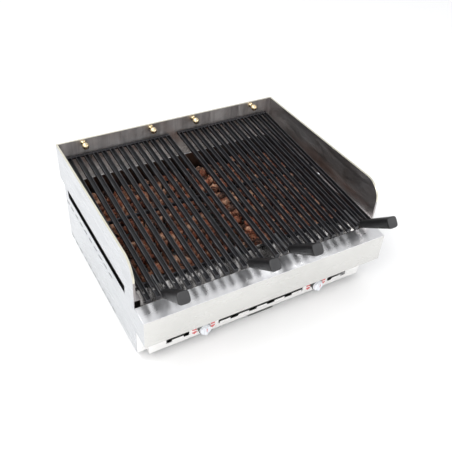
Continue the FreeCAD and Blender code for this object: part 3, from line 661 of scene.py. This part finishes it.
def dial_mark(bm, centre, direction, start, end, reach):
    """One mark: a sector between two angles in degrees, kept inside the plate."""
    radii = []
    for index in range(MARK_STEPS + 1):
        share = index / MARK_STEPS
        angle = math.radians(start + (end - start) * share)
        inner = MARK_START + MARK_GROWTH * share
        radii.append((angle, inner, inner + reach * math.cos(angle)))
    for (angle, inner, outer), (next_angle, next_inner, next_outer) in zip(radii, radii[1:]):
        corners = []
        for radius, turn in ((inner, angle), (next_inner, next_angle),
                             (next_outer, next_angle), (outer, angle)):
            x = direction * min(radius * math.cos(turn), DIAL_HALF_WIDTH)
            z = max(min(radius * math.sin(turn), DIAL_HALF_HEIGHT), -DIAL_HALF_HEIGHT)
            corners.append(bm.verts.new(centre + Vector((x, 0, z))))
        bm.faces.new(corners)


def dial_marks(side):
    """Red printed marks on the dial plate: a widening flame scale at each side of the knob."""
    low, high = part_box("dial_plate_" + side)
    centre = Vector(((low.x + high.x) / 2, low.y - INK_THICKNESS / 2, (low.z + high.z) / 2))
    bm = bmesh.new()
    for direction in (-1, 1):
        for start, end, reach in DIAL_MARKS:
            dial_mark(bm, centre, direction, start, end, reach)
    bmesh.ops.remove_doubles(bm, verts=bm.verts, dist=1e-6)
    bmesh.ops.recalc_face_normals(bm, faces=bm.faces)
    thick = bmesh.ops.extrude_face_region(bm, geom=bm.faces[:])
    moved = [part for part in thick["geom"] if isinstance(part, bmesh.types.BMVert)]
    bmesh.ops.translate(bm, verts=moved, vec=(0, INK_THICKNESS, 0))
    bmesh.ops.recalc_face_normals(bm, faces=bm.faces)
    piece = new_piece("dial_marks_" + side, bm, RED_INK, smooth=False)
    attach(piece, "cabinet")


STUD_SHANK = (                # (distance from the wall, radius)
    (0.0, 0.0086), (0.0008, 0.0090), (0.0044, 0.0090), (0.0058, 0.0080), (0.0060, 0.0054),
    (0.0100, 0.0048),
)
STUD_SPACE = 0.02             # studs stand further apart than this
BALL_REACH = 0.026            # middle of the ball, from the wall
BALL_RADIUS = 0.0114
BALL_STEPS = 14
BALL_START, BALL_SWEEP = 26, 152   # degrees round the ball, from the shank to its front


def group_middles(values, gap):
    """Middles of the groups of sorted values that lie within a gap of each other."""
    groups = [[values[0]]]
    for value in values[1:]:
        if value - groups[-1][-1] > gap:
            groups.append([])
        groups[-1].append(value)
    return [(group[0] + group[-1]) / 2 for group in groups]


def make_studs():
    """Turned brass studs: base washer, shank and ball, one wherever the CAD node has one."""
    name = "brass_studs"
    low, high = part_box(name)
    z = (low.z + high.z) / 2
    xs = sorted({round(vertex.co.x, 4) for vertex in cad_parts[name].data.vertices})
    profile = list(STUD_SHANK)
    for index in range(BALL_STEPS + 1):
        angle = math.radians(BALL_START + index * BALL_SWEEP / BALL_STEPS)
        profile.append((BALL_REACH - BALL_RADIUS * math.cos(angle), BALL_RADIUS * math.sin(angle)))
    bm = bmesh.new()
    for x in group_middles(xs, STUD_SPACE):
        lathe(bm, Vector((x, high.y, z)), profile, 32)
    piece = new_piece(name + "_turned", bm, BRASS)
    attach(piece, "cabinet")
    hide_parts(name)


# ---------------------------------------------------------------- lava rocks
ROCK_FLATS = 12
FLAT_CUT = 0.92               # share of the height over a flat that is cut away
ROCK_LUMPS = ((1.6, 0.34), (3.6, 0.24), (8.0, 0.12))   # (frequency, height) of each noise
PIT_FREQUENCY, PIT_LEVEL, PIT_DEPTH = 9.0, 0.1, 0.22
ROCK_TINT_SHARES = (0.45, 0.35, 0.2)                   # red, brown and black rocks
ROCK_LAYERS = (               # (height over the grid, radius, columns, rows)
    (0.013, 0.0205, 10, 13), (0.032, 0.0175, 10, 14),
)
TOP_LAYER = 0.02              # layers over this height have gaps
GAP_SHARE = 0.2


def rock_meshes(kinds):
    """A few different rock shapes: a sphere cut by flats and pushed about by layered noise."""
    shapes = []
    for kind in range(kinds):
        dice = random.Random(100 + kind)
        bm = bmesh.new()
        bmesh.ops.create_icosphere(bm, subdivisions=3, radius=1)
        shift = Vector([dice.uniform(-50, 50) for _ in range(3)])
        flats = []
        for _ in range(ROCK_FLATS):
            normal = Vector([dice.gauss(0, 1) for _ in range(3)]).normalized()
            flats.append((normal, dice.uniform(0.55, 0.8)))
        for vertex in bm.verts:
            spot = vertex.co.copy()
            for normal, level in flats:
                over = spot.dot(normal) - level
                if over > 0:
                    spot -= normal * over * FLAT_CUT
            size = 1
            for frequency, height in ROCK_LUMPS:
                size += height * noise.noise(spot * frequency + shift)
            pit = noise.noise(spot * PIT_FREQUENCY - shift)
            size -= PIT_DEPTH * max(pit - PIT_LEVEL, 0)
            vertex.co = spot * size
        mesh = bpy.data.meshes.new("rock_shape")
        bm.to_mesh(mesh)
        bm.free()
        shapes.append(mesh)
    return shapes


def make_lava_bed(side, shapes, seed):
    """Two loose layers of rocks over one grid, joined into one mesh with three tints."""
    name = "lava_rocks_" + side
    low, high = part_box(name)
    dice = random.Random(seed)
    points, faces, tints = [], [], []
    start = 0
    for level, size, columns, rows in ROCK_LAYERS:
        for column in range(columns):
            for row in range(rows):
                if level > TOP_LAYER and dice.random() < GAP_SHARE:
                    continue
                shape = dice.choice(shapes)
                radius = size * dice.uniform(0.82, 1.12)
                spin = dice.uniform(0, 6.28)
                turn = Matrix.Rotation(spin, 3, Vector((dice.random(), dice.random(), 0.4)))
                x = low.x + (high.x - low.x) * (column + 0.5 + dice.uniform(-0.25, 0.25)) / columns
                y = low.y + (high.y - low.y) * (row + 0.5 + dice.uniform(-0.25, 0.25)) / rows
                centre = Vector((x, y, low.z + level + dice.uniform(-0.003, 0.004)))
                stretch = Matrix.Diagonal((
                    dice.uniform(0.9, 1.25), dice.uniform(0.8, 1.1), dice.uniform(0.7, 0.95),
                ))
                place = turn @ stretch
                points.extend(centre + place @ (vertex.co * radius) for vertex in shape.vertices)
                faces.extend([start + i for i in polygon.vertices] for polygon in shape.polygons)
                tint = dice.choices((0, 1, 2), ROCK_TINT_SHARES)[0]
                tints.extend([tint] * len(shape.polygons))
                start += len(shape.vertices)
    mesh = bpy.data.meshes.new(name + "_pile")
    mesh.from_pydata(points, [], faces)
    piece = new_piece(name + "_pile", mesh, LAVA_RED)
    mesh.materials.append(LAVA_BROWN)
    mesh.materials.append(LAVA_BLACK)
    mesh.polygons.foreach_set("material_index", tints)
    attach(piece, "cabinet")
    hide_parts(name)


# ---------------------------------------------------------------- stage and light
FLOOR_REACH = 30.0
FLOOR_GAP = 0.0005            # keeps the floor just under the feet


def make_floor():
    """Plain white floor with a faint cloudiness."""
    bm = bmesh.new()
    bmesh.ops.create_grid(bm, x_segments=1, y_segments=1, size=FLOOR_REACH)
    material, tree, surface, place = new_material("floor_white")
    cloud = noise_at(tree, place, 0.4, detail=2.0)
    shade = mix(tree, rescale(tree, cloud, 0.0, 1.0), (0.96, 0.96, 0.96), (0.94, 0.94, 0.94))
    set_inputs(tree, surface, Base_Color=shade, Roughness=rescale(tree, cloud, 0.7, 0.8))
    floor = new_piece("floor", bm, material)
    floor.location.z = CAD_BOX[0].z - FLOOR_GAP


LIGHTS = (                    # (name, place, target, size, power, colour)
    ("key", (-1.9, -1.5, 2.4), (0, 0, 0.2), (1.6, 1.6), 34, (1, 0.98, 0.95)),
    ("fill", (2.0, -1.8, 1.6), (0, 0, 0.2), (1.8, 1.4), 15, (1, 1, 1)),
    ("top", (-1.3, 1.0, 2.4), (0, 0, 0.2), (1.4, 1.0), 26, (0.96, 0.98, 1)),
    ("strip", (1.42, 1.05, 2.6), (0.18, -0.26, 0.2), (0.2, 0.9), 1.6, (1, 1, 1)),
)


def make_area_light(name, location, target, size, power, colour):
    """Rectangular soft box that faces its target."""
    data = bpy.data.lights.new(name, "AREA")
    data.shape = "RECTANGLE"
    data.size, data.size_y = size
    data.energy = power
    data.color = colour
    light = bpy.data.objects.new(name, data)
    light.location = location
    light.rotation_euler = (Vector(target) - Vector(location)).to_track_quat("-Z", "Y").to_euler()
    bpy.context.scene.collection.objects.link(light)


def make_light():
    """A pale sky that darkens towards the right, and soft boxes."""
    world = bpy.data.worlds.new("studio")
    world.use_nodes = True
    tree = world.node_tree
    toward = add(tree, "ShaderNodeTexCoord").outputs["Generated"]
    across = add(tree, "ShaderNodeSeparateXYZ", {"Vector": toward}).outputs["X"]
    level = rescale(tree, across, 1.08, 0.55, 0.1, 0.75)
    background = tree.nodes["Background"]
    background.inputs["Color"].default_value = (0.985, 0.99, 1.0, 1)
    tree.links.new(level, background.inputs["Strength"])
    bpy.context.scene.world = world
    for light in LIGHTS:
        make_area_light(*light)
    view = bpy.context.scene.view_settings
    view.view_transform = "Standard"
    view.look = "None"
    view.exposure = 0.0


make_camera()
make_light()
make_floor()
dress_cad_nodes()
for side_name in SIDES:
    for number in ("1", "2"):
        make_grip("grip_" + side_name + "_" + number, "grate_" + side_name)
    make_knob(side_name, "knob_" + side_name)
    dial_marks(side_name)
make_studs()
rock_shapes = rock_meshes(6)
for side_name, seed_number in zip(SIDES, (11, 12)):
    make_lava_bed(side_name, rock_shapes, seed_number)
for rock_shape in rock_shapes:
    bpy.data.meshes.remove(rock_shape)
